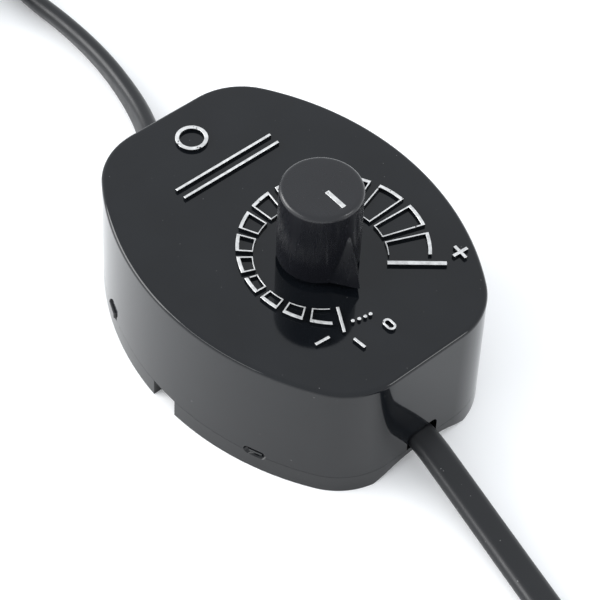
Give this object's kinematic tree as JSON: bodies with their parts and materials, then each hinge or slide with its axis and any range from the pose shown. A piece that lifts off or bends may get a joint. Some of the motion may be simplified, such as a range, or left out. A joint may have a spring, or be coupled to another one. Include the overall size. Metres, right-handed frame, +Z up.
{
  "type": "inline_fan_speed_controller",
  "caption": "In-line rotary speed controller for a fan: gloss black moulded box in a flat two-core cord, tall pointer knob and a ring of growing silver dial marks, two-pin plug, bare load end.",
  "frame": {"origin": "centre of the housing's foot, on the surface it stands on", "axes": "+X along the housing towards the load cord, +Y across it, +Z up out of the dial"},
  "size_m": [0.4733, 0.0901, 0.0595],
  "materials": {
    "gloss_black": "high-gloss black ABS",
    "black_abs": "satin black ABS",
    "satin_black": "satin charcoal ABS",
    "silver_foil": "hot-stamped silver foil",
    "board_laminate": "phenolic paper board",
    "brown_laminate": "phenolic laminate",
    "zinc_steel": "zinc-plated steel",
    "nickel_brass": "nickel-plated brass",
    "tinned_brass": "tinned brass",
    "white_nylon": "natural nylon",
    "black_epoxy": "moulded epoxy",
    "heatsink_aluminium": "extruded aluminium",
    "ferrite": "coated iron powder",
    "enamelled_copper": "enamelled copper wire",
    "yellow_film": "potted film capacitor",
    "resistor_lacquer": "lacquered metal film",
    "diode_glass": "glass body",
    "fuse_glass": "glass tube with metal caps",
    "terminal_green": "moulded polyamide",
    "brown_pvc": "brown core insulation",
    "blue_pvc": "blue core insulation",
    "cord_pvc": "satin black PVC jacket",
    "tie_pvc": "black tie",
    "plug_pvc": "moulded black PVC"
  },
  "bodies": {
    "housing": {"top_shell": "gloss_black", "dial_foil": "silver_foil", "base_cover": "black_abs", "circuit_board": "board_laminate", "board_screws": "zinc_steel", "pot_body": "zinc_steel", "pot_track": "brown_laminate", "pot_terminals": "tinned_brass", "pot_bush": "nickel_brass", "pot_washer": "nickel_brass", "pot_nut": "nickel_brass", "switch_housing": "brown_laminate", "switch_terminals": "tinned_brass", "triac": "black_epoxy", "heatsink": "heatsink_aluminium", "heatsink_screw": "zinc_steel", "choke_core": "ferrite", "choke_winding": "enamelled_copper", "filter_capacitor": "yellow_film", "timing_capacitor": "yellow_film", "resistors": "resistor_lacquer", "diac": "diode_glass", "fuse": "fuse_glass", "fuse_clips": "tinned_brass", "terminal_blocks": "terminal_green", "terminal_screws": "zinc_steel", "cord_clamps": "white_nylon", "clamp_screws": "zinc_steel", "brown_cores": "brown_pvc", "blue_cores": "blue_pvc", "supply_cord": "cord_pvc", "load_cord": "cord_pvc", "supply_coil": "cord_pvc", "supply_tie": "tie_pvc", "load_coil": "cord_pvc", "load_tie": "tie_pvc", "load_brown_core": "brown_pvc", "load_blue_core": "blue_pvc", "load_ferrules": "tinned_brass", "plug_body": "plug_pvc", "plug_pins": "nickel_brass", "plug_relief": "plug_pvc"},
    "knob_control": {"knob": "satin_black", "knob_mark": "silver_foil", "knob_spring": "zinc_steel", "pot_shaft": "nickel_brass", "pot_wiper": "tinned_brass", "switch_cam": "white_nylon"}
  },
  "joints": [
    {"name": "knob_turn", "type": "hinge", "parent": "housing", "child": "knob_control", "pos_m": [0.0095, 0, 0.036], "axis": [0, 0, 1], "range_deg": [-315, 0]}
  ]
}
